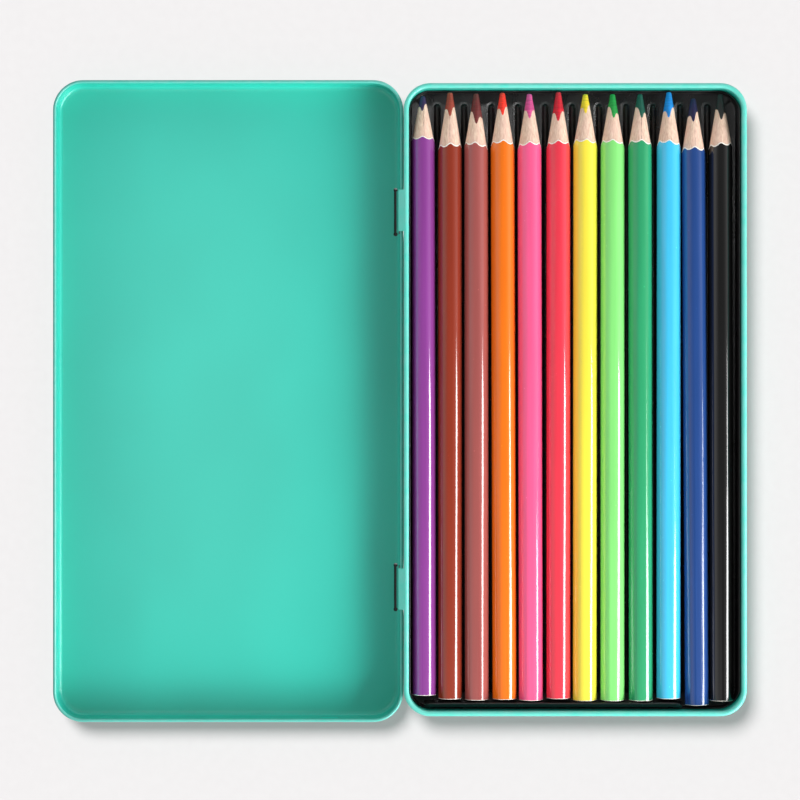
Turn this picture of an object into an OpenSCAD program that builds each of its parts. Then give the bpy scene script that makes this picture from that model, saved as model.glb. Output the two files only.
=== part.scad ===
// Hinged tin for twelve coloured pencils, open flat with its lid to the left.
// X runs across both halves, Y along the hinge with the pencil tips at +Y, Z up.
// The origin is the middle of the open tin's underside. Millimetres.

/* [Tin base] */
// Width of the base over its rolled rim
base_w = 99.6; // [90:0.2:112]
// Length of the base over its rolled rim
base_l = 183.8; // [181:0.2:195]
// Height of the base
base_h = 9.2; // [8.8:0.1:12]
// Corner radius of the base, over its rim
corner_r = 7.7; // [6:0.1:9]
// Thickness of the tin plate
plate_t = 0.28; // [0.2:0.01:0.32]
// Diameter of the base's rolled rim
base_bead_d = 1.5; // [1.2:0.05:2]
// Inner radius where the base's walls meet its floor
base_fold_r = 0.8; // [0.5:0.1:1]

/* [Lid] */
// Diameter of the lid's rolled rim, which is also the hinge pin
lid_bead_d = 0.95; // [0.8:0.05:1.1]
// Inner radius where the lid's walls meet its floor
lid_fold_r = 1.5; // [1:0.1:2]
// Gap across the tin between the lid and the base's rim
lid_gap_x = 0.15; // [0.1:0.05:0.4]
// Gap at each end between the lid and the base's rim
lid_gap_y = 0.45; // [0.45:0.05:0.8]
// How far the base sits along the hinge from the middle of the lid
hinge_play = 0.4; // [0:0.05:0.4]

/* [Hinge] */
// Height of the hinge axis
hinge_z = 7.3; // [7:0.1:8.2]
// Length of each hinge tab
tab_l = 12; // [8:0.5:16]
// Distance between the middles of the two tabs
tab_spacing = 110; // [80:1:140]
// Thickness of a tab where it wraps the lid's rim
tab_t = 0.4; // [0.3:0.05:0.5]
// Running clearance between the lid's rim and a tab
tab_gap = 0.08; // [0.05:0.01:0.1]
// Gap at each end of a tab to its slot in the lid
slot_gap = 0.5; // [0.2:0.1:1]
// Depth of a slot, from the edge of the lid's rim into the fold of its wall
slot_reach = 2.5; // [2:0.1:2.6]
// Diameter of the round relief at each end of a slot
slot_relief_d = 1.2; // [0.8:0.1:1.6]

/* [Pressed dimples] */
// Distance between the two snap dimples in the lid's front wall
snap_spacing = 138; // [100:1:150]
// Length of a snap dimple
snap_l = 5.5; // [4:0.5:8]
// Height of the snap dimples' middle below the hinge axis
snap_drop = 1.9; // [1.9:0.1:3]
// How far a snap dimple stands into the lid
snap_rise = 0.3; // [0.1:0.05:0.3]
// Distance between the two stiffening dimples in the lid's front wall
press_spacing = 108; // [80:1:120]
// Length of a stiffening dimple
press_l = 8.7; // [6:0.1:12]
// Height of the stiffening dimples' middle below the hinge axis
press_drop = 3.7; // [3:0.1:4.5]
// How far a stiffening dimple stands into the lid
press_rise = 0.15; // [0.1:0.05:0.3]
// Radius of the dimples' crest
dimple_r = 1.2; // [1:0.1:1.4]
// Distance of the end wall's dimple from the hinge
end_dimple_x = 21; // [14:1:60]

/* [Insert] */
// Thickness of the insert's sheet
sheet_t = 0.35; // [0.25:0.05:0.5]
// Height of the insert above the base's floor
insert_h = 7.1; // [5.5:0.1:7.6]
// Gap between the insert and the hinge side wall
insert_gap_left = 0.1; // [0.1:0.05:0.6]
// Gap between the insert and the opposite wall
insert_gap_right = 0.3; // [0.1:0.1:0.6]
// Gap between the insert and the wall at the pencil tips
insert_gap_tip = 0.15; // [0.1:0.05:0.4]
// Gap between the insert and the wall at the pencil ends
insert_gap_end = 0.1; // [0.1:0.1:1]
// Height of the ridges between the pencils
ridge_h = 1.1; // [0.6:0.1:1.4]
// Width of a ridge at its foot
ridge_foot_w = 2.1; // [1.6:0.1:2.2]
// Width of a ridge at its crest
ridge_crest_w = 0.9; // [0.6:0.1:1.2]
// Flat trough between the ridges' ends and the wall at the pencil tips
trough_l = 2.5; // [1.5:0.1:6]
// Flat strip beyond the last groove
shoulder_w = 0.6; // [0.2:0.1:1]
// Width of the sloping ledge behind the pencils' ends
ledge_w = 1.8; // [1:0.1:2]
// How far the ledge slopes down to the end wall
ledge_drop = 1.6; // [0.5:0.1:3]
// Flat trough between the ridges' ends and the ledge
ledge_trough_l = 1.6; // [1:0.1:6]

/* [Pencils] */
// Width of a pencil across its flats
pencil_af = 6.75; // [6.2:0.05:6.8]
// Radius along a pencil's six edges
edge_r = 2.3; // [0.8:0.05:2.6]
// Length of a pencil
pencil_l = 176.8; // [165:0.1:177]
// Length of the purple pencil, the most used one
purple_l = 174.6; // [165:0.1:177]
// Room between a pencil's tip and the insert's end wall
tip_room = 0.15; // [0.1:0.05:1]
// Least room between neighbouring pencils, for as many as fit, up to twelve
least_room = 0.01; // [0.01:0.01:0.3]
// Half angle of the sharpened cone
cone_angle = 9.8; // [9:0.1:14]
// Diameter of the blunt tip
tip_d = 1.5; // [0.8:0.1:2]
// Diameter of the coloured core
core_d = 3.4; // [2:0.1:3.6]
// Gap round the core in its groove
core_gap = 0.02; // [0.01:0.01:0.05]
// Thickness of the lacquer
lacquer_t = 0.15; // [0.1:0.05:0.25]

/* [Hidden] */
// Colour, push towards the pencil ends, sideways shift at the tip and at the
// end as a share of the room between neighbours, roll about the pencil's own
// axis, lacquer colour and core colour
PENCILS = [
    ["purple", 1.2, -0.4, 0.15, 2, [0.57, 0.26, 0.6], [0.24, 0.14, 0.39]],
    ["brown", 0.1, -0.35, -0.3, -1, [0.59, 0.22, 0.14], [0.59, 0.24, 0.18]],
    ["rosewood", 0.4, -0.7, -0.45, 4, [0.67, 0.35, 0.34], [0.41, 0.16, 0.16]],
    ["orange", 0.2, -1, -0.25, -2, [1, 0.49, 0.1], [0.94, 0.2, 0.14]],
    ["pink", 0.5, -1.05, -0.5, 1, [1, 0.38, 0.59], [0.8, 0.29, 0.53]],
    ["red", 0, -0.35, -0.35, 2, [0.97, 0.25, 0.33], [0.78, 0.1, 0.18]],
    ["yellow", 0.6, -0.4, -0.6, -2, [1, 0.93, 0.3], [0.88, 0.76, 0.16]],
    ["lime", 0.6, -0.35, -0.4, 1, [0.56, 0.93, 0.51], [0.12, 0.55, 0.24]],
    ["green", 0.6, -0.25, 0.05, -3, [0.2, 0.66, 0.44], [0.08, 0.31, 0.25]],
    ["sky", 0, 0.4, 0.25, 1, [0.29, 0.8, 0.98], [0.08, 0.49, 0.78]],
    ["navy", 1.9, -0.65, 0.7, -1, [0.15, 0.29, 0.56], [0.11, 0.1, 0.25]],
    ["black", 0.65, -0.6, -0.2, 2, [0.09, 0.09, 0.09], [0.14, 0.14, 0.14]]
];
tip_r = tip_d / 2;
flat_r = pencil_af / 2;
wood_af = pencil_af - 2 * lacquer_t;
edge_reach = edge_r + (flat_r - edge_r) / cos(30);
well_w = base_w - 2 * base_bead_d;
insert_w = well_w - insert_gap_left - insert_gap_right;
row_w = insert_w - 2 * sheet_t - shoulder_w;
count = min(len(PENCILS), floor(row_w / (2 * edge_reach + least_room)));
names = [for (i = [0:count - 1]) PENCILS[i][0]];

mint = [0.33, 0.84, 0.76];
tray_black = [0.08, 0.08, 0.09];
cedar = [0.88, 0.78, 0.7];

strap_share = 0.8;  // share of the ring and of the base's rim that a tab's strap spans
pin_squeeze = 0.02; // how much slimmer the lid's rim is pressed inside the slots
dimple_end = 75;    // how far round a dimple's end is carried, in degrees
clear = 0.05;       // overshoot of every cut past the face that it opens
arc_steps = 8;      // facets in a quarter of a rolled rim or a fold
pencil_steps = 4;   // facets round one edge of a pencil

// Lid
lid_in_w = base_w + 2 * lid_gap_x;
lid_in_l = base_l + 2 * lid_gap_y;
lid_w = lid_in_w + 2 * lid_bead_d;
lid_l = lid_in_l + 2 * lid_bead_d;
lid_corner_r = corner_r + lid_gap_x + lid_bead_d;
lid_h = hinge_z + lid_bead_d / 2;

// Both halves side by side, centred on the origin
tin_w = lid_w + lid_gap_x + base_w;
lid_x = -tin_w / 2 + lid_w / 2;
lid_edge_x = -tin_w / 2 + lid_w;
hinge_x = lid_edge_x - lid_bead_d / 2;
base_x = tin_w / 2 - base_w / 2;
base_y = hinge_play;

// Hinge
tab_bore_d = lid_bead_d + 2 * tab_gap;
tab_outer_d = tab_bore_d + 2 * tab_t;
slot_l = tab_l + 2 * slot_gap;

// The dimples as [middle, turn about Z, length, rise], turned so that +X points
// into the lid
wall_x = -tin_w / 2 + lid_bead_d;
wall_y = -lid_l / 2 + lid_bead_d;
DIMPLES = concat(
    [for (side = [-1, 1])
        [[wall_x, side * snap_spacing / 2, hinge_z - snap_drop], 0, snap_l, snap_rise]],
    [for (side = [-1, 1])
        [[wall_x, side * press_spacing / 2, hinge_z - press_drop], 0, press_l, press_rise]],
    [[[hinge_x - end_dimple_x, wall_y, hinge_z - snap_drop], 90, snap_l, snap_rise]]
);

// Insert, against the walls of the base's well
well_l = base_l - 2 * base_bead_d;
well_corner_r = corner_r - base_bead_d;
insert_l = well_l - insert_gap_tip - insert_gap_end;
insert_x = base_x + (insert_gap_left - insert_gap_right) / 2;
insert_y = base_y + (insert_gap_end - insert_gap_tip) / 2;
insert_corner_r = well_corner_r - insert_gap_left;
insert_fold_r = base_fold_r;
insert_z = plate_t;
groove_z = insert_z + sheet_t;
pitch = row_w / count;
side_room = pitch - 2 * edge_reach;
wall_tip_y = insert_y + insert_l / 2 - sheet_t;
ledge_y = insert_y - insert_l / 2 + sheet_t + ledge_w;
ridge_from_y = ledge_y + ledge_trough_l;
ridge_l = wall_tip_y - trough_l - ridge_from_y;
ridge_y = ridge_from_y + ridge_l / 2;

// Pencils
tip_y = wall_tip_y - tip_room;
cone_l = (pencil_af - tip_r) / tan(cone_angle);

function lie_height(roll) =
    edge_r + (flat_r - edge_r) * cos(30 - abs(roll)) / cos(30);
function pencil_length(i) = names[i] == "purple" ? purple_l : pencil_l;
function arc(cx, cy, r, from, to, steps) =
    [for (k = [0:steps]) let (a = from + (to - from) * k / steps)
        [cx + r * cos(a), cy + r * sin(a)]];

// Half section of a pressed tray: floor, fold, wall and outward rolled rim.
// X is measured out from the middle of the corner's arc.
function tray_section(r, height, bead_d, fold_r) =
    let (wall_in = r - bead_d, roll_r = bead_d / 2,
        roll_x = r - roll_r, roll_z = height - roll_r,
        fold_x = wall_in - fold_r, fold_z = plate_t + fold_r)
    concat(
        [[0, 0]],
        arc(fold_x, fold_z, fold_r + plate_t, -90, 0, arc_steps),
        arc(roll_x, roll_z, roll_r - plate_t, 180, -90, 3 * arc_steps),
        arc(roll_x, roll_z, roll_r, -90, 180, 3 * arc_steps),
        arc(fold_x, fold_z, fold_r, 0, -90, arc_steps),
        [[0, plate_t]]
    );

// Half section of the insert's wall and floor, with a rounded bottom edge
function insert_section(r) =
    let (fold_x = r - insert_fold_r, fold_z = insert_fold_r, inner_r = insert_fold_r - sheet_t)
    concat(
        [[0, 0]],
        arc(fold_x, fold_z, insert_fold_r, -90, 0, arc_steps),
        [[r, insert_h], [r - sheet_t, insert_h]],
        arc(fold_x, fold_z, inner_r, 0, -90, arc_steps),
        [[0, sheet_t]]
    );

// Outline of a pencil across its length
function pencil_outline(af, r) =
    let (reach = (af / 2 - r) / cos(30))
    [for (k = [0:5]) each arc(reach * cos(60 * k), reach * sin(60 * k), r,
        60 * k - 30, 60 * k + 30, pencil_steps)];

// Sweeps a half section round a rectangle with rounded corners
module sweep_round(w, l, r, points) {
    for (k = [0:3]) {
        across = k % 2 == 0 ? w : l;
        along = k % 2 == 0 ? l : w;
        rotate(90 * k) translate([across / 2 - r, 0, 0]) {
            rotate([90, 0, 0])
                linear_extrude(along - 2 * r, center = true) polygon(points);
            translate([0, along / 2 - r, 0])
                rotate_extrude(angle = 90, $fn = 64) polygon(points);
        }
    }
}

module pressed_tray(w, l, r, height, bead_d, fold_r) {
    sweep_round(w, l, r, tray_section(r, height, bead_d, fold_r));
    translate([0, 0, plate_t / 2])
        cube([w - 2 * r, l - 2 * r, plate_t], center = true);
}

// A rounded bar along Y, whose round ends are pinched to the dimple's length
module dimple_bar(length, radius, rise) {
    cap = sqrt(radius * radius - (radius - rise) * (radius - rise));
    straight = length / 2 - cap;
    rotate([90, 0, 0]) rotate_extrude($fn = 48) polygon(concat(
        [[0, -straight - radius]],
        arc(0, -straight, radius, -dimple_end, 0, arc_steps / 2),
        arc(0, straight, radius, 0, dimple_end, arc_steps / 2),
        [[0, straight + radius]]
    ));
}

// A tab of the base that wraps the lid's rim, in the plane across the hinge
module hinge_tab() {
    bead_x = lid_edge_x + lid_gap_x + base_bead_d / 2 - hinge_x;
    bead_z = base_h - base_bead_d / 2 - hinge_z;
    ring_r = tab_outer_d / 2;
    bead_half = strap_share * base_bead_d / 2;
    strap = [
        [0, strap_share * ring_r], [bead_x, bead_z + bead_half],
        [bead_x, bead_z - bead_half], [ring_r, 0], [0, 0]
    ];
    translate([hinge_x, 0, hinge_z]) rotate([90, 0, 0]) difference() {
        union() {
            cylinder(h = tab_l, d = tab_outer_d, center = true, $fn = 64);
            linear_extrude(tab_l, center = true) polygon(strap);
        }
        cylinder(h = tab_l + 2 * clear, d = tab_bore_d, center = true, $fn = 64);
        translate([ring_r / 2, -ring_r, 0])
            cube([ring_r + clear, tab_outer_d, tab_l + 2 * clear], center = true);
    }
}

module tin_base() {
    color(mint) union() {
        translate([base_x, base_y, 0])
            pressed_tray(base_w, base_l, corner_r, base_h, base_bead_d, base_fold_r);
        for (side = [-1, 1])
            translate([0, base_y + side * tab_spacing / 2, 0]) hinge_tab();
    }
}

// The opening in the lid's wall and fold that a tab turns in
module hinge_slot() {
    slot_x = lid_edge_x - slot_reach;
    translate([slot_x, -slot_l / 2, plate_t + clear])
        cube([slot_reach + clear, slot_l, lid_h]);
    for (side = [-1, 1])
        translate([slot_x + slot_relief_d / 2, side * slot_l / 2, -clear])
            cylinder(h = plate_t + lid_fold_r, d = slot_relief_d, $fn = 32);
}

// Places a dimple's bar so that it stands out of the wall by its rise
module at_dimple(d) {
    translate(d[0]) rotate(d[1]) translate([d[3] - dimple_r, 0, 0]) children();
}

module tin_lid() {
    color(mint) {
        difference() {
            union() {
                translate([lid_x, 0, 0])
                    pressed_tray(lid_w, lid_l, lid_corner_r, lid_h, lid_bead_d, lid_fold_r);
                for (d = DIMPLES) intersection() {
                    at_dimple(d) dimple_bar(d[2], dimple_r, d[3]);
                    translate(d[0]) rotate(d[1]) translate([dimple_r - plate_t, 0, 0])
                        cube([2 * dimple_r, 2 * d[2], 3 * dimple_r], center = true);
                }
            }
            for (d = DIMPLES)
                at_dimple(d) dimple_bar(d[2], dimple_r - plate_t, d[3]);
            for (side = [-1, 1])
                translate([0, base_y + side * tab_spacing / 2, 0]) hinge_slot();
        }
        for (side = [-1, 1])
            translate([hinge_x, base_y + side * tab_spacing / 2, hinge_z])
                rotate([90, 0, 0])
                    cylinder(h = slot_l, d = lid_bead_d - pin_squeeze, center = true, $fn = 64);
    }
}

function groove_x(i) = insert_x - shoulder_w / 2 + (i - (count - 1) / 2) * pitch;

// One ridge along Y, with sloped sides and ends, its foot shrunk by inset
module ridge(inset) {
    foot = ridge_foot_w / 2 - inset;
    crest = ridge_crest_w / 2 - inset / 2;
    rise = groove_z + ridge_h - inset;
    rotate([90, 0, 0]) linear_extrude(ridge_l - 2 * inset, center = true)
        polygon([
            [-foot, insert_z - (inset > 0 ? clear : 0)],
            [-foot, groove_z], [-crest, rise], [crest, rise], [foot, groove_z],
            [foot, insert_z - (inset > 0 ? clear : 0)]
        ]);
}

// Section across the ledge behind the pencils, shrunk by inset
module ledge(inset) {
    from_x = groove_x(0);
    to_x = groove_x(count - 2) - edge_reach;
    low_z = insert_z - (inset > 0 ? clear : 0);
    top_z = insert_z + insert_h - inset;
    end_y = insert_y - insert_l / 2 + sheet_t;
    translate([from_x + inset, 0, 0]) rotate([90, 0, 90])
        linear_extrude(to_x - from_x - 2 * inset) polygon([
            [end_y + insert_fold_r - sheet_t, low_z], [ledge_y - inset, low_z],
            [ledge_y - inset, top_z], [ledge_y - 2 * sheet_t, top_z],
            [end_y, top_z - ledge_drop], [end_y, insert_z + insert_fold_r]
        ]);
}

module insert_tray() {
    color(tray_black) difference() {
        union() {
            translate([insert_x, insert_y, insert_z]) {
                sweep_round(insert_w, insert_l, insert_corner_r,
                    insert_section(insert_corner_r));
                translate([0, 0, sheet_t / 2]) cube(
                    [insert_w - 2 * insert_corner_r, insert_l - 2 * insert_corner_r, sheet_t],
                    center = true);
            }
            for (i = [0:count - 2])
                translate([groove_x(i) + pitch / 2, ridge_y, 0]) ridge(0);
            ledge(0);
        }
        for (i = [0:count - 2])
            translate([groove_x(i) + pitch / 2, ridge_y, 0]) ridge(sheet_t);
        ledge(sheet_t);
    }
}

// Places a pencil in its groove. Its own Z runs from the tip to the end.
module in_groove(i) {
    p = PENCILS[i];
    length = pencil_length(i);
    shift = (p[2] + p[3]) / 2 * side_room;
    yaw = atan((p[3] - p[2]) * side_room / length);
    translate([groove_x(i) + shift, tip_y - p[1] - length / 2,
            groove_z + lie_height(p[4])])
        rotate([0, 0, yaw]) translate([0, length / 2, 0])
            rotate([90, 0, 0]) rotate([0, 0, p[4]]) children();
}

// What the sharpener leaves: the blunt tip, the cone and all behind it
module sharpened(length) {
    wide_r = tip_r + cone_l * tan(cone_angle);
    rotate_extrude($fn = 64) polygon(concat(
        [[0, 0]],
        arc(tip_r / 2, tip_r / 2, tip_r / 2, -90, 0, pencil_steps),
        [[wide_r, tip_r / 2 + cone_l], [wide_r, length], [0, length]]
    ));
}

module pencil_prism(af, r, length) {
    linear_extrude(length) polygon(pencil_outline(af, r));
}

module casing(i) {
    length = pencil_length(i);
    color(cedar) in_groove(i) difference() {
        intersection() {
            pencil_prism(wood_af, edge_r - lacquer_t, length);
            sharpened(length);
        }
        translate([0, 0, -clear])
            cylinder(h = length + 2 * clear, d = core_d + 2 * core_gap, $fn = 48);
    }
}

module lacquer(i) {
    length = pencil_length(i);
    color(PENCILS[i][5]) in_groove(i) difference() {
        intersection() {
            pencil_prism(pencil_af, edge_r, length);
            sharpened(length);
        }
        translate([0, 0, -clear])
            pencil_prism(wood_af, edge_r - lacquer_t, length + 2 * clear);
    }
}

module core(i) {
    length = pencil_length(i);
    color(PENCILS[i][6]) in_groove(i) intersection() {
        cylinder(h = length, d = core_d, $fn = 48);
        sharpened(length);
    }
}

tin_base();
tin_lid();
insert_tray();
for (i = [0:count - 1]) {
    casing(i);
    lacquer(i);
    core(i);
}
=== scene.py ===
"""Looks of the hinged coloured pencil tin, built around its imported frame.

Everything is modelled in millimetres and brought to metres when a piece is finished.
X runs across the open tin, Y along the hinge with the pencil tips at +Y, Z is up.
"""

import math
import random

import bpy
from bpy.props import FloatProperty, FloatVectorProperty, PointerProperty
from mathutils import Matrix, Vector


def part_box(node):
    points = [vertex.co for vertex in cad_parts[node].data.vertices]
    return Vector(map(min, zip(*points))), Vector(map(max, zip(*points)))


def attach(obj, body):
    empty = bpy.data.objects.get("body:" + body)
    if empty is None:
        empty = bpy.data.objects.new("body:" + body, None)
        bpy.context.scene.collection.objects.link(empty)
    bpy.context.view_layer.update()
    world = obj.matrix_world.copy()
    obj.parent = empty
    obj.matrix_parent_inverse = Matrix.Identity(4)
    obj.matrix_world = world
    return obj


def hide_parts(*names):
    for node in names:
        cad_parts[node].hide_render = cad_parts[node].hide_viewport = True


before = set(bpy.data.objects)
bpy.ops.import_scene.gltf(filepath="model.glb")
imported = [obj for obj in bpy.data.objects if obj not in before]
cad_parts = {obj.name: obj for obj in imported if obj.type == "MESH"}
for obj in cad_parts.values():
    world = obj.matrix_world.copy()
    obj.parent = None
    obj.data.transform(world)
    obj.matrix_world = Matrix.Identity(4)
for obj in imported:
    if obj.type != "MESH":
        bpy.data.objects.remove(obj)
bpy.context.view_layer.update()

bl_info = {
    "name": "Coloured pencil tin",
    "version": (1, 0, 0),
    "blender": (4, 5, 0),
    "location": "3D View > Sidebar > Pencil Tin",
    "description": "Enamelled tin, black insert and twelve coloured pencils",
    "category": "Object",
}

MM = 0.001
ARC = 10            # steps in a quarter of a fold or a rolled rim
CORNER = 20         # steps round a corner of the tin

# Places that the frame fixes, in millimetres
base_lo, base_hi = (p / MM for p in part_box("tin_base"))
lid_lo, lid_hi = (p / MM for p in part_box("tin_lid"))
tray_lo, tray_hi = (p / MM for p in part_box("insert_tray"))
PLATE = 0.28
LID_BEAD, BASE_BEAD = 0.95, 1.5
LID_FOLD, BASE_FOLD = 1.2, 0.8
LID_CORNER, BASE_CORNER = 8.8, 7.7
LID_W, BASE_W = 101.8, 99.6
HINGE_X, HINGE_Z = 0.55, 7.3
TAB_L, TAB_YS = 12.0, (-54.6, 55.4)
TAB_RING, TAB_BORE, TAB_BEVEL = 0.955, 0.555, 0.12
SLOT_X, SLOT_W, SLOT_L = 1.025, 5.0, TAB_L + 1.0        # what a tab's slot takes off
NOTCH_X, NOTCH_W, RELIEF_X, RELIEF_R = -1.275, 0.75, -1.2, 0.6     # its cut in the floor
TRAY_SHEET, TRAY_CORNER = 0.35, 6.1
GROOVE_X, PITCH, GROOVE_Z = 7.079, 7.9083, 0.63
RIDGE_Y = (-86.15, 87.8)
LEDGE_Y, LEDGE_X = -87.75, (7.2, 82.5)
END_FALL = 3.8      # how much lower the insert's end walls are than its sides
ACROSS_FLATS, EDGE_R, LACQUER = 6.75, 2.5, 0.15
PENCIL_L, TIP_R, SIDE_ROOM = 176.8, 0.75, 0.826
BAR_L = 190.0       # longer than any pencil, for the leads and the tools that cut
LEAD_START = -1.0   # a lead's bar starts this far before the tip
PRIMER_BANDS = (1, 2, 5)    # bands of the coat's mesh where the lacquer is cut through

# Dimples in the lid's walls: place along the wall, height, length and depth
FRONT_DIMPLES = [(-69, 5.4, 5.5, 0.3), (69, 5.4, 5.5, 0.3),
                 (-54, 3.6, 8.7, 0.15), (54, 3.6, 8.7, 0.15)]
END_DIMPLE = (HINGE_X - 21, 5.4, 5.5, 0.3)
DIMPLE_R = 1.25     # half the width of a dimple
DIMPLE_END = 0.9    # how much of half its length is its rounded end

# Colour, sideways shares at the tip and the end, roll, length of the cone on a flat,
# how far the lead's upper side lies from the axis, and its sideways shift
PENCILS = [
    ("purple", -0.4, 0.15, 2, 13.2, 1.58, -0.11),
    ("brown", -0.35, -0.3, -1, 16.4, 1.86, -0.05),
    ("rosewood", -0.7, -0.45, 6, 15.9, 2.22, 0.14),
    ("orange", -1.0, -0.25, -3, 15.8, 1.86, -0.08),
    ("pink", -1.05, -0.5, 1, 15.8, 1.96, 0.0),
    ("red", -0.35, -0.35, 3, 16.0, 2.18, -0.05),
    ("yellow", -0.4, -0.6, -4, 14.7, 1.74, -0.11),
    ("lime", -0.35, -0.4, 2, 15.2, 1.96, 0.2),
    ("green", -0.25, 0.05, -5, 15.2, 1.96, 0.15),
    ("sky", 0.4, 0.25, 1, 15.9, 2.00, -0.15),
    ("navy", -0.65, 0.7, -2, 15.7, 1.87, -0.15),
    ("black", -0.6, -0.2, 3, 15.5, 1.98, 0.13),
]
SEAMS = {"purple": 0.05, "brown": -0.1, "green": 0.1, "navy": -0.25}
LACQUERS = {
    "purple": (145, 66, 153), "brown": (150, 55, 35), "rosewood": (172, 90, 86),
    "orange": (254, 124, 26), "pink": (255, 98, 150), "red": (247, 64, 83),
    "yellow": (255, 236, 76), "lime": (142, 238, 130), "green": (50, 168, 112),
    "sky": (73, 205, 250), "navy": (38, 75, 142), "black": (24, 24, 24),
}
LEADS = {
    "purple": (48, 30, 74), "brown": (150, 60, 45), "rosewood": (105, 40, 40),
    "orange": (240, 50, 35), "pink": (205, 75, 135), "red": (200, 25, 45),
    "yellow": (225, 195, 40), "lime": (30, 140, 60), "green": (20, 80, 65),
    "sky": (20, 125, 200), "navy": (28, 25, 65), "black": (35, 35, 35),
}


def linear(rgb):
    """A display colour from 0 to 255 as the linear RGBA that a shader takes."""
    def one(c):
        c /= 255
        return c / 12.92 if c <= 0.04045 else ((c + 0.055) / 1.055) ** 2.4
    return (*(one(c) for c in rgb), 1.0)


# ---------------------------------------------------------------- modelling

def deselect():
    if bpy.context.object and bpy.context.object.mode != "OBJECT":
        bpy.ops.object.mode_set(mode="OBJECT")
    bpy.ops.object.select_all(action="DESELECT")


def pick(piece):
    deselect()
    piece.select_set(True)
    bpy.context.view_layer.objects.active = piece


def spin(steps, degrees, middle, axis=(0, 0, 1)):
    """Spins what is selected, counter-clockwise seen from the axis' end."""
    bpy.ops.mesh.spin(steps=steps, angle=-math.radians(degrees), center=middle, axis=axis)


def trace(steps, plane="XZ", at=0.0):
    """Draws a line of points in a plane and leaves it in edit mode, all selected.

    The first step is a point; each later one is a point, or (middle, degrees, steps) for
    an arc from where the line has got to.
    """
    def place(a, b):
        return Vector({"XZ": (a, at, b), "XY": (a, b, at), "YZ": (at, a, b)}[plane])
    axis = {"XZ": (0, -1, 0), "XY": (0, 0, 1), "YZ": (1, 0, 0)}[plane]
    deselect()
    bpy.ops.mesh.primitive_plane_add(size=1.0)
    piece = bpy.context.object
    bpy.ops.object.mode_set(mode="EDIT")
    bpy.ops.mesh.select_mode(type="VERT")
    bpy.ops.mesh.select_all(action="SELECT")
    bpy.ops.mesh.merge(type="CENTER")
    bpy.ops.transform.translate(value=place(*steps[0]))
    here = Vector(steps[0])
    for step in steps[1:]:
        if len(step) == 2:
            there = Vector(step)
            move = place(*there) - place(*here)
            bpy.ops.mesh.extrude_vertices_move(TRANSFORM_OT_translate={"value": move})
        else:
            middle, turn, count = step
            spin(count, turn, place(*middle), axis)
            arm = here - Vector(middle)
            c, s = math.cos(math.radians(turn)), math.sin(math.radians(turn))
            there = Vector(middle) + Vector((c * arm.x - s * arm.y, s * arm.x + c * arm.y))
        here = there
    bpy.ops.mesh.select_all(action="SELECT")
    return piece


def close_up(gap=1e-4):
    bpy.ops.mesh.select_all(action="SELECT")
    bpy.ops.mesh.remove_doubles(threshold=gap)
    bpy.ops.mesh.normals_make_consistent(inside=False)


def press(piece, shift):
    """Pushes each point of a mesh by what shift gives for its place."""
    for v in piece.data.vertices:
        v.co += shift(v.co)


def carve(piece, tool, how="DIFFERENCE", keep=False):
    pick(piece)
    cut = piece.modifiers.new("Carve", "BOOLEAN")
    cut.operation, cut.solver, cut.object = how, "EXACT", tool
    bpy.ops.object.modifier_apply(modifier=cut.name)
    if not keep:
        bpy.data.objects.remove(tool)


def block(size, place):
    """A box to carve with."""
    deselect()
    bpy.ops.mesh.primitive_cube_add(size=1)
    bpy.ops.object.mode_set(mode="EDIT")
    bpy.ops.transform.resize(value=size)
    bpy.ops.transform.translate(value=place)
    bpy.ops.object.mode_set(mode="OBJECT")
    return bpy.context.object


def upright_rod(radius, depth, place):
    """A rod to carve with."""
    deselect()
    bpy.ops.mesh.primitive_cylinder_add(vertices=24, radius=radius, depth=depth)
    bpy.ops.object.mode_set(mode="EDIT")
    bpy.ops.transform.translate(value=place)
    bpy.ops.object.mode_set(mode="OBJECT")
    return bpy.context.object


def prism(steps, plane, at, way):
    """A closed outline in a plane, drawn out along way to a solid."""
    piece = trace(steps, plane, at)
    bpy.ops.mesh.remove_doubles(threshold=1e-4)
    bpy.ops.mesh.edge_face_add()
    bpy.ops.mesh.extrude_region_move(TRANSFORM_OT_translate={"value": way})
    close_up()
    bpy.ops.object.mode_set(mode="OBJECT")
    return piece


def copy_of(piece):
    twin = piece.copy()
    twin.data = piece.data.copy()
    bpy.context.scene.collection.objects.link(twin)
    return twin


def join(pieces):
    deselect()
    for p in pieces:
        p.select_set(True)
    bpy.context.view_layer.objects.active = pieces[0]
    bpy.ops.object.join()
    return pieces[0]


def dress(piece, name, body, nodes, finishes, sharp=35):
    """Names a piece, brings it to metres, smooths it and ties it to the frame."""
    piece.name = piece.data.name = name
    pick(piece)
    bpy.ops.object.mode_set(mode="EDIT")
    bpy.ops.mesh.select_all(action="SELECT")
    bpy.ops.transform.resize(value=(MM, MM, MM), center_override=(0, 0, 0))
    bpy.ops.object.mode_set(mode="OBJECT")
    bpy.ops.object.shade_smooth_by_angle(angle=math.radians(sharp))
    if finishes:
        piece.data.materials.clear()
        for f in finishes:
            piece.data.materials.append(f)
    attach(piece, body)
    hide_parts(*nodes)


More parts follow.
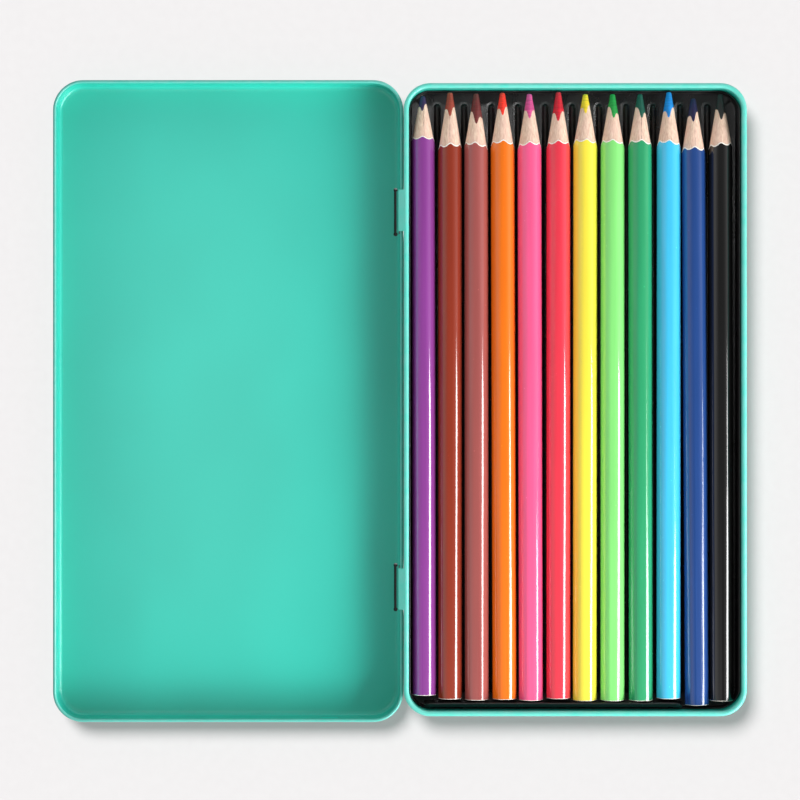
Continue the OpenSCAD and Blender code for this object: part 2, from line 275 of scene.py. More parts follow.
def sweep_round(section, centre, size, corner, stops=None):
    """Sweeps a section round a rectangle with rounded corners.

    The section is drawn across the +X side, measured out from the middle of the corner's
    arc. stops gives, for a side 0 to 3 from +X and on round, the places along that side
    where the sheet needs extra points.
    """
    cx, cy = centre
    half = (size[0] / 2 - corner, size[1] / 2 - corner)
    points = [(cx + half[0] + s[0], s[1]) if len(s) == 2 else
              ((cx + half[0] + s[0][0], s[0][1]), s[1], s[2]) for s in section]
    piece = trace(points, "XZ", cy - half[1])
    along = [(0, 1), (-1, 0), (0, -1), (1, 0)]
    middles = [(1, 1), (-1, 1), (-1, -1), (1, -1)]
    for side in range(4):
        reach = half[1 - side % 2]
        places = [-reach, *sorted((stops or {}).get(side, [])), reach]
        for a, b in zip(places, places[1:]):
            way = Vector((*along[side], 0)) * (b - a)
            bpy.ops.mesh.extrude_region_move(TRANSFORM_OT_translate={"value": way})
        mx, my = middles[side]
        spin(CORNER, 90, (cx + mx * half[0], cy + my * half[1], 0))
    close_up()
    return piece


def fill_floor(piece, height, margin=0.5):
    """Closes the loop of open edges at a height with a flat face that has a border."""
    bpy.ops.mesh.select_all(action="DESELECT")
    bpy.ops.mesh.select_non_manifold(extend=False, use_wire=False, use_boundary=True,
                                     use_multi_face=False, use_non_contiguous=False,
                                     use_verts=False)
    bpy.ops.object.mode_set(mode="OBJECT")
    for e in piece.data.edges:
        mid = sum(piece.data.vertices[v].co.z for v in e.vertices) / 2
        if abs(mid - height) > 1e-3:
            e.select = False
    for v in piece.data.vertices:
        v.select = False
    for e in piece.data.edges:
        if e.select:
            for v in e.vertices:
                piece.data.vertices[v].select = True
    bpy.ops.object.mode_set(mode="EDIT")
    bpy.ops.mesh.edge_face_add()
    bpy.ops.mesh.select_mode(type="FACE")
    bpy.ops.mesh.inset(thickness=margin, depth=0)
    bpy.ops.mesh.select_mode(type="VERT")


# ---------------------------------------------------------------- finishes

class Finish:
    """A new material with a Principled shader, and short ways to add its nodes."""

    def __init__(self, name, **sockets):
        self.material = bpy.data.materials.new(name)
        self.material.use_nodes = True
        self.tree = self.material.node_tree
        self.shader = self.tree.nodes["Principled BSDF"]
        for key, value in sockets.items():
            self.shader.inputs[key.replace("_", " ").title().replace("Ior", "IOR")
                               ].default_value = value
        self.place = self.node("ShaderNodeTexCoord").outputs["Object"]

    def node(self, kind, **inputs):
        n = self.tree.nodes.new(kind)
        for key, value in inputs.items():
            self.put(n.inputs[key.replace("_", " ").title()], value)
        return n

    def put(self, socket, value):
        if isinstance(value, bpy.types.NodeSocket):
            self.tree.links.new(value, socket)
        else:
            socket.default_value = value

    def stretched(self, x, y, z, shift=(0, 0, 0)):
        """The place on the object, scaled to so many waves to a metre on each axis."""
        m = self.node("ShaderNodeMapping", Vector=self.place)
        m.inputs["Scale"].default_value = (x, y, z)
        m.inputs["Location"].default_value = shift
        return m.outputs["Vector"]

    def noise(self, place, detail, roughness=0.5):
        n = self.node("ShaderNodeTexNoise", Vector=place, Scale=1.0, Detail=detail,
                      Roughness=roughness)
        return n.outputs["Fac"]

    def spread(self, value, low, high, to_low=0.0, to_high=1.0):
        m = self.node("ShaderNodeMapRange", Value=value)
        for key, number in zip(("From Min", "From Max", "To Min", "To Max"),
                               (low, high, to_low, to_high)):
            m.inputs[key].default_value = number
        return m.outputs["Result"]

    def math(self, how, a, b=0.0):
        n = self.tree.nodes.new("ShaderNodeMath")
        n.operation = how
        self.put(n.inputs[0], a)
        self.put(n.inputs[1], b)
        return n.outputs[0]

    def mix(self, share, a, b):
        n = self.tree.nodes.new("ShaderNodeMix")
        n.data_type = "RGBA"
        for socket, value in ((n.inputs[0], share), (n.inputs[6], a), (n.inputs[7], b)):
            self.put(socket, value)
        return n.outputs[2]

    def colour(self, value):
        self.put(self.shader.inputs["Base Color"], value)

    def roughness(self, value):
        self.put(self.shader.inputs["Roughness"], value)

    def bump(self, height, distance, strength=1.0, under=None):
        b = self.node("ShaderNodeBump", Height=height, Distance=distance, Strength=strength)
        if under is not None:
            self.put(b.inputs["Normal"], under)
        self.put(self.shader.inputs["Normal"], b.outputs["Normal"])
        return b.outputs["Normal"]

    def side_axis(self, axis):
        parts = self.node("ShaderNodeSeparateXYZ", Vector=self.place)
        return parts.outputs[axis]


def shade(rgba, factor):
    return (*(min(1.0, c * factor) for c in rgba[:3]), 1.0)


def enamel():
    """Baked mint enamel: a faint orange peel, a painted sheen on the rim and painted shade
    on the lid's far side.

    The rim's pale sheen and the far side's shade are painted, and aren't from the light.
    """
    tint = bpy.context.scene.pencil_tin.mint
    f = Finish("mint_finish", ior=1.35, coat_weight=0.7, coat_roughness=0.2)
    base = (*tint, 1.0)
    clouds = f.noise(f.stretched(18, 14, 30), detail=2)
    body = f.mix(f.spread(clouds, 0.35, 0.65), shade(base, 0.95), shade(base, 1.04))
    # Painted sheen: the rim and the wall above about 7 mm are paled in patches towards a
    # whitish mint.
    rim_sheen_noise = f.noise(f.stretched(400, 400, 400), detail=3)
    rim = f.math("MULTIPLY", f.spread(f.side_axis("Z"), 6.9 * MM, 7.5 * MM),
                 f.spread(rim_sheen_noise, 0.2, 0.6, 0.2, 0.5))
    # Painted shade: the lid's far side, from X -103 to -72 mm, darkens towards a deep mint.
    painted_far_shade = f.spread(f.side_axis("X"), -103 * MM, -72 * MM, 0.25, 0.0)
    body = f.mix(painted_far_shade, body, shade(base, 0.3))
    f.colour(f.mix(rim, body, linear((140, 205, 198))))
    smear = f.noise(f.stretched(60, 25, 60), detail=4)
    f.roughness(f.spread(smear, 0.3, 0.7, 0.46, 0.56))
    wave = f.bump(f.noise(f.stretched(28, 20, 28), detail=1), 0.0012, 0.5)
    f.bump(f.noise(f.stretched(900, 900, 900), detail=1), 0.00004, 0.35, wave)
    return f.material


def black_sheet():
    """Glossy black formed sheet with fine scuffs along it."""
    f = Finish("black_finish", ior=1.5)
    base = (*bpy.context.scene.pencil_tin.insert, 1.0)
    dust = f.noise(f.stretched(700, 700, 700), detail=4)
    f.colour(f.mix(f.spread(dust, 0.62, 0.8), base, linear((62, 61, 62))))
    f.roughness(f.spread(f.noise(f.stretched(90, 40, 90), detail=3), 0.3, 0.7, 0.22, 0.38))
    wave = f.bump(f.noise(f.stretched(60, 60, 60), detail=2), 0.0005, 0.5)
    f.bump(f.noise(f.stretched(500, 60, 500), detail=2), 0.00003, 0.3, wave)
    return f.material


def lacquer(colour, spot):
    """Pencil lacquer: glossy, a little uneven along the wood under it."""
    base = shade(linear(LACQUERS[colour]), bpy.context.scene.pencil_tin.brightness)
    f = Finish(f"{colour}_gloss", ior=1.8)
    along = f.noise(f.stretched(420, 22, 420, (spot, 0, 0)), detail=3)
    tone = f.mix(f.spread(along, 0.35, 0.65), shade(base, 0.80), shade(base, 0.88))
    dots = f.noise(f.stretched(1500, 900, 1500, (0, spot, 0)), detail=1)
    f.colour(f.mix(f.spread(dots, 0.78, 0.82), tone, shade(base, 1.4)))
    f.roughness(f.spread(f.noise(f.stretched(200, 60, 200), detail=2), 0.3, 0.7, 0.08, 0.14))
    grain = f.bump(f.noise(f.stretched(900, 30, 900), detail=2), 0.00006, 0.4)
    f.bump(f.noise(f.stretched(70, 25, 70), detail=1), 0.0004, 0.4, grain)
    return f.material


def primer():
    """The pale coat under the lacquer, seen where the sharpener has cut it."""
    f = Finish("primer_coat", ior=1.45)
    speck = f.noise(f.stretched(2500, 900, 2500), detail=2)
    f.colour(f.mix(f.spread(speck, 0.4, 0.6), linear((236, 226, 214)),
                   linear((250, 246, 240))))
    f.roughness(f.spread(speck, 0.3, 0.7, 0.6, 0.75))
    f.bump(speck, 0.00005, 0.4)
    return f.material


def pale_wood(colour, seam):
    """Freshly sharpened pinkish wood, its grain along the pencil, with the glue's seam."""
    f = Finish(f"{colour}_wood", ior=1.45)
    spot = (len(colour) * 0.13, seam * 7, 0)
    grain = f.noise(f.stretched(3200, 260, 3200, spot), detail=4, roughness=0.65)
    bands = f.noise(f.stretched(700, 60, 700, spot), detail=2)
    tone = f.mix(f.spread(grain, 0.32, 0.68), linear((198, 160, 138)), linear((240, 216, 194)))
    tone = f.mix(f.spread(bands, 0.35, 0.65, 0, 0.45), tone, linear((224, 182, 168)))
    off = f.math("ABSOLUTE", f.math("SUBTRACT", f.side_axis("X"), seam))
    line = f.math("MULTIPLY", f.spread(off, 0.00003, 0.00010, 1, 0),
                  f.spread(f.noise(f.stretched(900, 500, 900), detail=1), 0.4, 0.55, 0.2, 1))
    f.colour(f.mix(line, tone, linear((120, 88, 84))))
    f.roughness(f.spread(grain, 0.3, 0.7, 0.55, 0.72))
    f.bump(grain, 0.0001, 0.6)
    return f.material


def lead(colour, spot):
    """Waxy coloured lead with turned rings."""
    base = linear(LEADS[colour])
    f = Finish(f"{colour}_lead", ior=1.5)
    rings = f.noise(f.stretched(300, 2600, 300, (spot, 0, 0)), detail=3)
    f.colour(f.mix(f.spread(rings, 0.35, 0.65), shade(base, 0.82), shade(base, 1.18)))
    f.roughness(f.spread(rings, 0.3, 0.7, 0.38, 0.55))
    f.bump(rings, 0.00006, 0.5)
    return f.material


# ---------------------------------------------------------------- pieces

def pressed_section(corner, height, bead, fold):
    """Floor's edge, fold, wall, outward rolled rim, and back down the outside."""
    wall = corner - bead
    fold_z = PLATE + fold
    roll = (corner - bead / 2, height - bead / 2)
    rise = [fold_z + (roll[1] - fold_z) * k / 14 for k in range(1, 15)]
    return [
        (wall - fold, PLATE), ((wall - fold, fold_z), 90, ARC),
        *[(wall, z) for z in rise],
        (roll, -270, 3 * ARC),
        (wall + PLATE, roll[1] - bead / 2),
        *[(wall + PLATE, z) for z in reversed(rise[:-3:3])],
        (wall + PLATE, fold_z), ((wall - fold, fold_z), -90, ARC),
    ]


def dimple(co, axis, place, z, length, depth):
    """How far a dimple that runs along an axis pushes a point of the wall in."""
    straight = length / 2 - DIMPLE_END
    reach = math.hypot(max(abs(co[axis] - place) - straight, 0), co.z - z)
    if reach > DIMPLE_R:
        return 0.0
    return depth * 0.5 * (1 + math.cos(math.pi * reach / DIMPLE_R))


def spaced(middle, half, step=0.4):
    count = round(2 * half / step)
    return [middle - half + step * k for k in range(count + 1)]


class PENCILTIN_OT_lid(bpy.types.Operator):
    """Builds the lid with its rolled rim, pressed dimples and hinge slots"""

    bl_idname = "pencil_tin.lid"
    bl_label = "Lid"

    def execute(self, context):
        size = (LID_W, lid_hi.y - lid_lo.y)
        centre = (lid_lo.x + size[0] / 2, (lid_lo.y + lid_hi.y) / 2)
        wall_x = lid_lo.x + LID_BEAD
        wall_y = lid_lo.y + LID_BEAD
        stops = [t for y, _, length, _ in FRONT_DIMPLES
                 for t in spaced(-y, length / 2 + 0.8)]
        end_x, _, end_length, _ = END_DIMPLE
        lid = sweep_round(
            pressed_section(LID_CORNER, HINGE_Z + LID_BEAD / 2, LID_BEAD, LID_FOLD),
            centre, size, LID_CORNER,
            {2: stops, 3: spaced(end_x - centre[0], end_length / 2 + 0.8)})
        fill_floor(lid, PLATE)
        fill_floor(lid, 0.0)
        bpy.ops.object.mode_set(mode="OBJECT")

        def pushed(co):
            into = Vector((0, 0, 0))
            on_wall = PLATE + 0.6 < co.z < HINGE_Z - 0.4
            if on_wall and co.x < wall_x + 0.7:
                into.x = max(dimple(co, 1, *row) for row in FRONT_DIMPLES)
            if on_wall and co.y < wall_y + 0.7:
                into.y = dimple(co, 0, *END_DIMPLE)
            return into

        press(lid, pushed)
        for tab_y in TAB_YS:
            carve(lid, block((SLOT_W, SLOT_L, 20), (SLOT_X, tab_y, 10 + PLATE * 1.2)))
            carve(lid, block((NOTCH_W, SLOT_L, 3), (NOTCH_X, tab_y, 0.2)))
            for end in (-1, 1):
                relief_y = tab_y + end * SLOT_L / 2
                carve(lid, upright_rod(RELIEF_R, 3, (RELIEF_X, relief_y, 0.2)))
            circle = [(HINGE_X + LID_BEAD / 2 - 0.01, HINGE_Z),
                      ((HINGE_X, HINGE_Z), 360, 4 * ARC)]
            pin = prism(circle, "XZ", tab_y - SLOT_L / 2 - 0.05, (0, SLOT_L + 0.1, 0))
            lid = join([lid, pin])
        dress(lid, "lid_shell", "lid", ["tin_lid"],
              [bpy.data.materials["mint_finish"]])
        return {"FINISHED"}


class PENCILTIN_OT_base(bpy.types.Operator):
    """Builds the base with its rolled rim and the two tabs that wrap the lid's rim"""

    bl_idname = "pencil_tin.base"
    bl_label = "Base"

    def execute(self, context):
        size = (BASE_W, base_hi.y - base_lo.y)
        centre = (base_hi.x - size[0] / 2, (base_lo.y + base_hi.y) / 2)
        height = base_hi.z
        base = sweep_round(pressed_section(BASE_CORNER, height, BASE_BEAD, BASE_FOLD),
                           centre, size, BASE_CORNER)
        fill_floor(base, PLATE)
        fill_floor(base, 0.0)
        bpy.ops.object.mode_set(mode="OBJECT")
        for tab_y in TAB_YS:
            tab = prism(self.tab_outline(height), "XZ", tab_y - TAB_L / 2, (0, TAB_L, 0))
            edge = tab.modifiers.new("Edge", "BEVEL")
            edge.width, edge.segments, edge.limit_method = TAB_BEVEL, 3, "ANGLE"
            edge.angle_limit = math.radians(50)
            pick(tab)
            bpy.ops.object.modifier_apply(modifier=edge.name)
            base = join([base, tab])
        dress(base, "base_shell", "base", ["tin_base"],
              [bpy.data.materials["mint_finish"]])
        return {"FINISHED"}

    def tab_outline(self, height):
        """A tab's section: rolled round the lid's rim, then onto the base's own."""
        opening, overlap = 95, 96       # degrees
        on_bead = 0.72 * 1.08
        hinge = (HINGE_X, HINGE_Z)
        bead_x, bead_z = HINGE_X + 1.375, height - BASE_BEAD / 2
        lean = math.degrees(math.atan2(bead_z - HINGE_Z, bead_x - HINGE_X))
        up, down = math.radians(lean + overlap), math.radians(-opening)
        start = (HINGE_X + TAB_RING * math.cos(down), HINGE_Z + TAB_RING * math.sin(down))
        return [start, (hinge, -(360 - opening - (lean + overlap)), 3 * ARC),
                (bead_x + on_bead * math.cos(up), bead_z + on_bead * math.sin(up)),
                (bead_x + 0.3, bead_z + 0.5), (bead_x + 0.1, bead_z - 0.3),
                (HINGE_X + TAB_RING * 0.98, HINGE_Z + 0.1), (HINGE_X + TAB_BORE, HINGE_Z),
                (hinge, 360 - opening, 3 * ARC), start]


class PENCILTIN_OT_insert(bpy.types.Operator):
    """Builds the formed black insert with its ridges and the ledge at the pencil ends"""

    bl_idname = "pencil_tin.insert"
    bl_label = "Insert"

    def execute(self, context):
        size = (tray_hi.x - tray_lo.x, tray_hi.y - tray_lo.y)
        centre = ((tray_lo.x + tray_hi.x) / 2, (tray_lo.y + tray_hi.y) / 2)
        low, top = tray_lo.z, tray_hi.z
        r, fold, t = TRAY_CORNER, BASE_FOLD, TRAY_SHEET
        section = [
            (r - fold, low + t), ((r - fold, low + fold), 90, ARC),
            (r - t, low + 3), (r - t, top - t / 2),
            ((r - t / 2, top - t / 2), -180, 6),
            (r, low + 3), (r, low + fold), ((r - fold, low + fold), -90, ARC),
        ]
        tray = sweep_round(section, centre, size, r)
        fill_floor(tray, low + t, margin=2.2)
        fill_floor(tray, low)
        bpy.ops.object.mode_set(mode="OBJECT")

        def settle(co):
            end = max(co.y - tray_hi.y, tray_lo.y - co.y)
            near = min(1.0, max(0.0, (end + r) / (r - t)))
            fall = near * near * (3 - 2 * near)
            if co.z > low + 4:
                return Vector((0, 0, -END_FALL * fall))
            if co.z > low + t - 0.01 and co.y > tray_hi.y - 2.5:
                return Vector((0, 0, 0.35 * max(0.0, 1 - (co.z - low - t) / 2.5)))
            return Vector((0, 0, 0))

        press(tray, settle)
        tray = join([tray, *self.ridges(), self.ledge()])
        dress(tray, "insert_sheet", "insert", ["insert_tray"],
              [bpy.data.materials["black_finish"]], sharp=50)
        return {"FINISHED"}

    def ridges(self):
        x, z = GROOVE_X + PITCH / 2, GROOVE_Z
        from_y, to_y = RIDGE_Y
        foot = 1.7      # half the width of a ridge, and the radius of its ends
        run = to_y - from_y - 2 * foot
        half = [(x + foot, z), (x + 1.15, z + 0.05), ((x + 1.1, z + 0.55), -50, 6),
                (x + 0.52, z + 0.72), ((x, z + 0.4), 50, 8), (x, z + 1.1)]
        ridge = trace(half, "XZ", from_y + foot)
        for way, end_y in ((1, to_y - foot), (-1, from_y + foot)):
            bpy.ops.mesh.extrude_region_move(
                TRANSFORM_OT_translate={"value": (0, way * run, 0)})
            spin(16, 180, (x, end_y, 0))
        close_up()
        bpy.ops.object.mode_set(mode="OBJECT")
        ridges = [ridge]
        for k in range(1, len(PENCILS) - 1):
            twin = copy_of(ridge)
            twin.data.transform(Matrix.Translation((PITCH * k, 0, 0)))
            ridges.append(twin)
        return ridges

    def ledge(self):
        x0, x1 = LEDGE_X
        top = tray_hi.z - 0.05
        wall = tray_lo.y + 0.2
        steps = [(LEDGE_Y + 0.25, GROOVE_Z), ((LEDGE_Y + 0.25, GROOVE_Z + 0.25), -90, 4),
                 (LEDGE_Y, top - 0.3), ((LEDGE_Y - 0.3, top - 0.3), 75, 6),
                 (wall + 0.5, top - 2.0), (wall + 0.3, top - 3.6)]
        ledge = trace(steps, "YZ", x0)
        count = 60
        for _ in range(count):
            bpy.ops.mesh.extrude_region_move(
                TRANSFORM_OT_translate={"value": ((x1 - x0) / count, 0, 0)})
        bpy.ops.mesh.select_all(action="SELECT")
        bpy.ops.mesh.normals_make_consistent(inside=False)
        bpy.ops.object.mode_set(mode="OBJECT")
        rng = random.Random(4)
        waves = [(rng.uniform(0.04, 0.35), rng.uniform(0, 6.3)) for _ in range(5)]

        def settle(co):
            ends = min(co.x - x0, x1 - co.x)
            fall = math.exp(-ends / 0.8)
            lift = (co.z - GROOVE_Z) / (top - GROOVE_Z)
            wander = sum(math.sin(f * co.x * 3 + p) for f, p in waves) / 5
            return Vector((0, 0.14 * wander * lift - 0.9 * fall * lift,
                           (0.1 * wander - 3.0 * fall) * lift))

        press(ledge, settle)
        return ledge


def hexagon(af, z, scale=1.0):
    """Points round a rounded hexagon at a height, its corners on the X axis."""
    r = EDGE_R - (ACROSS_FLATS - af) / 2
    reach = (af / 2 - r) / math.cos(math.radians(30))
    arcs = []
    for k in range(6):
        middle = reach * Vector((math.cos(math.radians(60 * k)),
                                 math.sin(math.radians(60 * k))))
        turns = (math.radians(60 * k - 30 + 5 * j) for j in range(13))
        arcs.append([middle + r * Vector((math.cos(b), math.sin(b))) for b in turns])
    points = []
    for arc, following in zip(arcs, arcs[1:] + arcs[:1]):
        points += arc + [arc[-1].lerp(following[0], t / 3) for t in (1, 2)]
    return [(*(scale * p), z) for p in points]


def skin(rings, tube):
    """A mesh of bands between rings of points: a tube's last ring meets its first."""
    n = len(rings[0])
    steps = list(zip(range(len(rings)), range(1, len(rings))))
    if tube:
        steps.append((len(rings) - 1, 0))
    faces = [(a * n + i, a * n + (i + 1) % n, b * n + (i + 1) % n, b * n + i)
             for a, b in steps for i in range(n)]
    if not tube:
        faces += [tuple(reversed(range(n))), tuple(range(n * len(rings) - n, n * len(rings)))]
    mesh = bpy.data.meshes.new("skin")
    mesh.from_pydata([p for ring in rings for p in ring], [], faces)
    piece = bpy.data.objects.new("skin", mesh)
    bpy.context.scene.collection.objects.link(piece)
    return piece


def pencil_bar():
    """The wood as a solid hexagonal bar along Z."""
    af = ACROSS_FLATS - 2 * LACQUER
    return skin([hexagon(af, 0), hexagon(af, PENCIL_L - 0.03)], False)


def pencil_coat():
    """The paint as a tube along Z: lacquer over primer, with its far edge eased."""
    af, low = ACROSS_FLATS, ACROSS_FLATS - 2 * LACQUER
    return skin([hexagon(af, 0), hexagon(af, PENCIL_L - 0.14),
                 hexagon(af, PENCIL_L - 0.05, 0.985), hexagon(af, PENCIL_L, 0.958),
                 hexagon(low, PENCIL_L - 0.02), hexagon(low, 0), hexagon(af - 0.18, 0)], True)


class Sharpener:
    """The cone a pencil is cut to: its axis leans a little off the pencil's own."""

    def __init__(self, cone_l, lean):
        self.slope = (ACROSS_FLATS / 2 - TIP_R) / cone_l
        self.lean = lean

    def height(self, x, y):
        """Where the cone meets the line along Z through a place across the pencil."""
        z = 10.0
        for _ in range(12):
            off = math.hypot(x - self.lean[0] * z, y - self.lean[1] * z)
            z = (off - TIP_R) / self.slope
        return z

    def solid(self):
        """What is left inside the sharpener: blunt tip, cone and all behind it."""
        slope, eased, reach = self.slope, TIP_R * 0.62, 8.0
        end = eased + (reach - TIP_R) / slope
        half = [(0.0, 0.0), (TIP_R - eased, 0.0), ((TIP_R - eased, eased), 72, 6),
                (TIP_R + slope * 2.5, eased + 2.5), (reach, end), (reach, BAR_L),
                (0.0, BAR_L)]
        form = trace(half, "XZ", 0.0)
        spin(96, 360, (0, 0, 0))
        close_up(1e-3)
        bpy.ops.object.mode_set(mode="OBJECT")
        press(form, lambda co: Vector((self.lean[0] * co.z, self.lean[1] * co.z, 0)))
        return form


def lead_bar(reach, aside):
    """The lead's bar along Z: egg-shaped, its narrow side up."""
    wide, narrow = 0.78 * reach, 0.3 * reach
    up = reach - narrow
    lean = math.asin((wide - narrow) / up)
    c, s = math.cos(lean), math.sin(lean)
    turn = math.degrees(lean)
    start = (narrow * c, up + narrow * s)
    bar = prism([start, ((0.0, up), 180 - 2 * turn, 24), (-wide * c, wide * s),
                 ((0.0, 0.0), 180 + 2 * turn, 30), start], "XY", LEAD_START, (0, 0, BAR_L))
    bar.data.transform(Matrix.Translation((aside, 0, 0)))
    return bar


def in_groove(colour, front, rear, roll):
    """Where a pencil lies and its length: its own Z runs from the tip to the end."""
    lo, hi = (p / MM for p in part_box(f"{colour}_core"))
    length = hi.y - lo.y
    yaw = math.atan2((rear - front) * SIDE_ROOM, length)
    place = (Matrix.Translation((lo + hi) / 2)
             @ Matrix.Rotation(yaw, 4, "Z") @ Matrix.Translation((0, length / 2, 0))
             @ Matrix.Rotation(math.radians(90), 4, "X")
             @ Matrix.Rotation(math.radians(roll), 4, "Z"))
    return place, length


class PENCILTIN_OT_pencils(bpy.types.Operator):
    """Builds the twelve sharpened pencils, each of lacquer, wood and lead"""

    bl_idname = "pencil_tin.pencils"
    bl_label = "Pencils"

    def execute(self, context):
        coat = pencil_coat()
        bar = pencil_bar()
        rng = random.Random(12)
        for k, row in enumerate(PENCILS):
            self.pencil(k, row, coat, bar, rng)
        for template in (coat, bar):
            bpy.data.objects.remove(template)
        return {"FINISHED"}

    def pencil(self, k, row, coat, bar, rng):
        colour, front, rear, roll, cone_l, reach, aside = row
        lie, length = in_groove(colour, front, rear, roll)
        cone = Sharpener(cone_l, (rng.uniform(-0.006, 0.006), rng.uniform(0.005, 0.014)))
        form = cone.solid()
        paint, wood, rod = copy_of(coat), copy_of(bar), lead_bar(reach, aside)
        press(paint, lambda co: Vector((0, 0, cone.height(co.x, co.y) if co.z < 1
                                        else length - PENCIL_L)))
        press(wood, lambda co: Vector((0, 0, length - PENCIL_L if co.z > 100 else 0)))
        press(rod, lambda co: Vector((0, 0, length - BAR_L - LEAD_START
                                      if co.z > 100 else 0)))
        carve(wood, form, "INTERSECT", keep=True)
        carve(wood, rod, keep=True)
        carve(rod, form, "INTERSECT")
        paint.data.materials.clear()
        paint.data.materials.append(lacquer(colour, k * 0.7))
        paint.data.materials.append(bpy.data.materials["primer_coat"])
        around = len(hexagon(ACROSS_FLATS, 0))
        for n, face in enumerate(paint.data.polygons):
            face.material_index = 1 if n // around in PRIMER_BANDS else 0
        for part in (paint, wood, rod):
            part.data.transform(lie)
        body = f"{colour}_pencil"
        middle = sum(p.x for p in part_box(f"{colour}_core")) / 2
        dress(paint, f"{colour}_paint", body, [f"{colour}_lacquer"],
              None, 30)
        dress(wood, f"{colour}_wood", body, [f"{colour}_casing"],
              [pale_wood(colour, middle + SEAMS.get(colour, 9) * MM)], 30)
        dress(rod, f"{colour}_lead", body, [f"{colour}_core"],
              [lead(colour, k * 1.3)], 40)


# ---------------------------------------------------------------- studio

# Area lamps: place, aim, width and height, and power in watts
LAMPS = {
    "key": ((0.6, -0.44, 0.35), (0, -0.1, 0), (0.88, 0.28), 11.5),
    "rear": ((0.25, 0.8, 0.35), (0, 0.1, 0), (0.6, 0.3), 1.0),
    "fill": ((-0.42, 0.1, 0.7), (0.05, 0, 0), (0.4, 0.4), 2.7),
    "top": ((-0.14, 0.01, 1.1), (-0.14, 0.01, 0), (0.18, 0.4), 0.6),
    "glint": ((0.0, 0.235, 0.9), (0.0, 0.235, 0), (0.05, 0.1), 0.55),
}
SUN_AIM, SUN_POWER, SUN_ANGLE = (3.3, -5.0, -8.5), 8.2, 27
CAMERA_Z, RIM_Z, FRAME_W = 0.8, 0.0085, 0.2322  # metres; the frame's width at the rim
AIR = (0.55, 0.97, 0.56, 0.08)  # from a low to a high direction, strength at each
PAPER_TONES = (0.252, 0.245, 0.246, 1), (0.260, 0.253, 0.254, 1)
PAPER_GLOW = 0.27
# Dark patches of painted shade on the floor under the hinge's slots: colour, middle and half
# size, in mm
SLOT_SHADE_PAINT = (0.01, 0.01, 0.01, 1)
PATCH_X, PATCH_Y, PATCH_HALF_X, PATCH_HALF_Y = -1.0, 55, 0.9, 7.0


def lamp(name, place, aim, size, power):
    data = bpy.data.lights.new(name, "AREA")
    data.shape, data.size, data.size_y = "RECTANGLE", size[0], size[1]
    data.energy = power
    piece = bpy.data.objects.new(name, data)
    bpy.context.scene.collection.objects.link(piece)
    piece.location = place
    piece.rotation_euler = (Vector(aim) - Vector(place)).to_track_quat("-Z", "Y").to_euler()
    return piece


def beam(source, pieces, state):
    """Keeps a lamp off some pieces, or keeps it for those pieces alone."""
    group = bpy.data.collections.new(f"{source.name}_beam")
    source.light_linking.receiver_collection = group
    for n, piece in enumerate(pieces):
        group.objects.link(piece)
        group.collection_objects[n].light_linking.link_state = state


def studio_paper():
    """Pale paper that glows to the camera, with the object's shadow on it.

    Two patches under the hinge's slots are painted dark as painted shade, with or without
    the object over them, and any floor that is nearly closed in gets the same painted shade.
    """
    f = Finish("studio_paper", roughness=0.95)
    fleck = f.noise(f.stretched(400, 400, 400), detail=2)
    across = f.math("ABSOLUTE", f.math("SUBTRACT", f.side_axis("X"), PATCH_X * MM))
    along = f.math("ABSOLUTE", f.math("SUBTRACT", f.math("ABSOLUTE", f.side_axis("Y")),
                                      PATCH_Y * MM))
    # Painted shade: the floor's colour and glow go dark where ambient occlusion finds it
    # nearly closed in, and on the slot patches.
    openness = f.node("ShaderNodeAmbientOcclusion", Distance=0.006).outputs["AO"]
    off_patch = f.math(
        "MAXIMUM", f.spread(across, PATCH_HALF_X * MM, (PATCH_HALF_X + 0.3) * MM),
        f.spread(along, PATCH_HALF_Y * MM, (PATCH_HALF_Y + 0.4) * MM))
    clear = f.math("MULTIPLY", f.spread(openness, 0.15, 0.42), off_patch)
    f.colour(f.mix(clear, SLOT_SHADE_PAINT, f.mix(f.spread(fleck, 0.3, 0.7), *PAPER_TONES)))
    path = f.node("ShaderNodeLightPath")
    seen = f.math("MAXIMUM", path.outputs["Is Camera Ray"],
                  f.math("MAXIMUM", path.outputs["Is Glossy Ray"],
                         path.outputs["Is Transmission Ray"]))
    f.shader.inputs["Emission Color"].default_value = (1, 1, 1, 1)
    f.put(f.shader.inputs["Emission Strength"],
          f.math("MULTIPLY", f.math("MULTIPLY", seen, clear), PAPER_GLOW))
    f.shader.inputs["Specular IOR Level"].default_value = 0.0
    return f.material


def studio_air():
    """Soft surroundings: bright all round at table height, darker overhead."""
    world = bpy.data.worlds.new("studio_air")
    world.use_nodes = True
    tree = world.node_tree
    place = tree.nodes.new("ShaderNodeTexCoord")
    parts = tree.nodes.new("ShaderNodeSeparateXYZ")
    fade = tree.nodes.new("ShaderNodeMapRange")
    tree.links.new(place.outputs["Generated"], parts.inputs[0])
    tree.links.new(parts.outputs["Z"], fade.inputs["Value"])
    for key, number in zip(("From Min", "From Max", "To Min", "To Max"),
                           AIR):
        fade.inputs[key].default_value = number
    back = tree.nodes["Background"]
    back.inputs["Color"].default_value = (1.0, 0.985, 0.985, 1)
    tree.links.new(fade.outputs["Result"], back.inputs["Strength"])
    return world


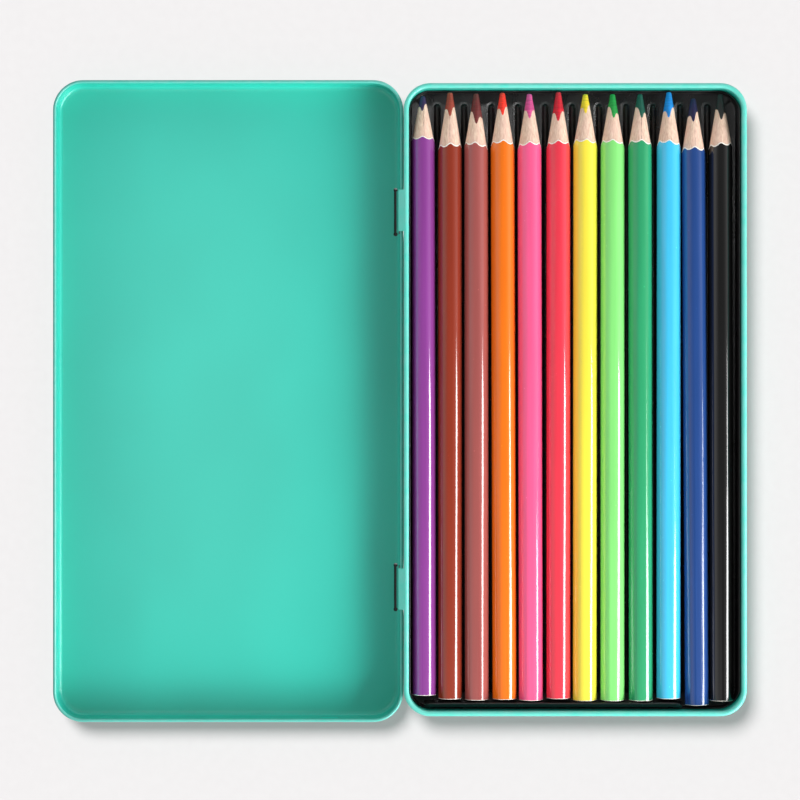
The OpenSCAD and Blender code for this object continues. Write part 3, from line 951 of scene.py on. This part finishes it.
class PENCILTIN_OT_studio(bpy.types.Operator):
    """Sets the pale floor, the soft lamps, the surroundings and the camera"""

    bl_idname = "pencil_tin.studio"
    bl_label = "Studio"

    def execute(self, context):
        deselect()
        bpy.ops.mesh.primitive_plane_add(size=6)
        floor = context.object
        floor.name = "studio_floor"
        bpy.ops.object.mode_set(mode="EDIT")
        bpy.ops.transform.translate(value=(0, 0, -0.0002))
        bpy.ops.object.mode_set(mode="OBJECT")
        floor.data.materials.append(studio_paper())
        context.scene.world = studio_air()
        lamps = {name: lamp(name, *row) for name, row in LAMPS.items()}
        lamps["fill"].visible_glossy = False
        lid, sheet = bpy.data.objects["lid_shell"], bpy.data.objects["insert_sheet"]
        beam(lamps["key"], [floor], "EXCLUDE")
        beam(lamps["rear"], [floor], "EXCLUDE")
        beam(lamps["fill"], [floor, lid], "EXCLUDE")
        beam(lamps["top"], [lid], "INCLUDE")
        beam(lamps["glint"], [sheet], "INCLUDE")
        data = bpy.data.lights.new("floor_sun", "SUN")
        data.energy, data.angle = SUN_POWER, math.radians(SUN_ANGLE)
        sun = bpy.data.objects.new("floor_sun", data)
        context.scene.collection.objects.link(sun)
        sun.rotation_euler = Vector(SUN_AIM).to_track_quat("-Z", "Y").to_euler()
        beam(sun, [floor], "INCLUDE")
        data = bpy.data.cameras.new("camera")
        camera = bpy.data.objects.new("camera", data)
        context.scene.collection.objects.link(camera)
        camera.location = (0.0001, 0.0003, CAMERA_Z)
        data.sensor_width = 36
        data.lens = data.sensor_width * (CAMERA_Z - RIM_Z) / FRAME_W
        data.clip_end = 20
        context.scene.camera = camera
        context.scene.view_settings.view_transform = "Standard"
        return {"FINISHED"}


# ---------------------------------------------------------------- add-on

class PencilTinLooks(bpy.types.PropertyGroup):
    mint: FloatVectorProperty(
        name="Enamel", description="Colour of the tin's enamel", subtype="COLOR",
        size=3, min=0, max=1, default=linear((46, 206, 185))[:3])
    insert: FloatVectorProperty(
        name="Insert", description="Colour of the insert's formed sheet", subtype="COLOR",
        size=3, min=0, max=1, default=linear((30, 29, 30))[:3])
    brightness: FloatProperty(
        name="Pencil brightness", description="How bright the pencils' lacquer is",
        default=1.0, min=0.2, max=1.4, subtype="FACTOR")


class PENCILTIN_PT_panel(bpy.types.Panel):
    bl_label = "Pencil Tin"
    bl_space_type = "VIEW_3D"
    bl_region_type = "UI"
    bl_category = "Pencil Tin"

    def draw(self, context):
        for name in ("mint", "insert", "brightness"):
            self.layout.prop(context.scene.pencil_tin, name)
        for operator in OPERATORS:
            self.layout.operator(operator.bl_idname)


OPERATORS = (PENCILTIN_OT_base, PENCILTIN_OT_lid, PENCILTIN_OT_insert,
             PENCILTIN_OT_pencils, PENCILTIN_OT_studio)
CLASSES = (PencilTinLooks, *OPERATORS, PENCILTIN_PT_panel)


def register():
    for c in CLASSES:
        bpy.utils.register_class(c)
    bpy.types.Scene.pencil_tin = PointerProperty(type=PencilTinLooks)


def unregister():
    del bpy.types.Scene.pencil_tin
    for c in reversed(CLASSES):
        bpy.utils.unregister_class(c)


def main():
    register()
    for finish in (enamel, black_sheet, primer):
        finish()
    bpy.ops.pencil_tin.base()
    bpy.ops.pencil_tin.lid()
    bpy.ops.pencil_tin.insert()
    bpy.ops.pencil_tin.pencils()
    bpy.ops.pencil_tin.studio()


if __name__ == "__main__":
    main()
